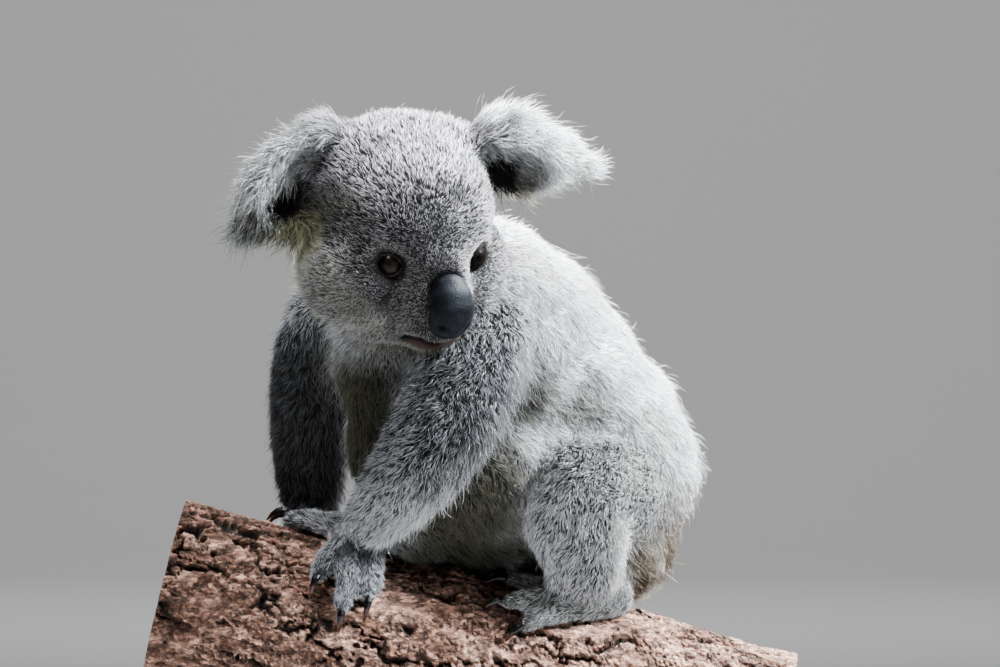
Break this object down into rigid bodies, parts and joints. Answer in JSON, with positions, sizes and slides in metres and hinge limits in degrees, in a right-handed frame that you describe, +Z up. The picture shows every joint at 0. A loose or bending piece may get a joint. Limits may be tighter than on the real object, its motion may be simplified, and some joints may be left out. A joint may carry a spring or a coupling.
{
  "type": "koala",
  "caption": "Life-size still model of a young koala gripping a short cut length of branch, on a plain display stand with a flat base and rods.",
  "frame": {"origin": "middle of the underside of the stand's base", "axes": "+X down the slope of the branch, which is the way the koala's rump lies; -Y the side that its face is turned to; +Z up"},
  "size_m": [0.3306, 0.2281, 0.4362],
  "materials": {
    "fur_grey": "thick soft grey fur, pale beneath",
    "nose_black": "bare grained skin, slightly moist",
    "eye_brown": "wet dark brown eye",
    "claw_black": "smooth dark horn",
    "bark": "rough flaking bark, sawn ends",
    "stand_wood": "dark satin varnish",
    "stand_steel": "plain satin rod"
  },
  "bodies": {
    "root": {"belly": "fur_grey", "chest": "fur_grey", "claw_foot_left_2": "claw_black", "claw_foot_left_3": "claw_black", "claw_foot_left_4": "claw_black", "claw_foot_left_5": "claw_black", "claw_foot_right_2": "claw_black", "claw_foot_right_3": "claw_black", "claw_foot_right_4": "claw_black", "claw_foot_right_5": "claw_black", "claw_hand_left_1": "claw_black", "claw_hand_left_2": "claw_black", "claw_hand_left_3": "claw_black", "claw_hand_left_4": "claw_black", "claw_hand_left_5": "claw_black", "claw_hand_right_1": "claw_black", "claw_hand_right_2": "claw_black", "claw_hand_right_3": "claw_black", "claw_hand_right_4": "claw_black", "claw_hand_right_5": "claw_black", "ear_left": "fur_grey", "ear_right": "fur_grey", "eye_left": "eye_brown", "eye_right": "eye_brown", "foot_left": "fur_grey", "foot_right": "fur_grey", "forearm_left": "fur_grey", "forearm_right": "fur_grey", "hand_left": "fur_grey", "hand_right": "fur_grey", "head": "fur_grey", "neck": "fur_grey", "nose": "nose_black", "perch_branch": "bark", "rump": "fur_grey", "shin_left": "fur_grey", "shin_right": "fur_grey", "stand_base": "stand_wood", "stand_rod_high": "stand_steel", "stand_rod_low": "stand_steel", "thigh_left": "fur_grey", "thigh_right": "fur_grey", "upper_arm_left": "fur_grey", "upper_arm_right": "fur_grey"}
  },
  "joints": []
}
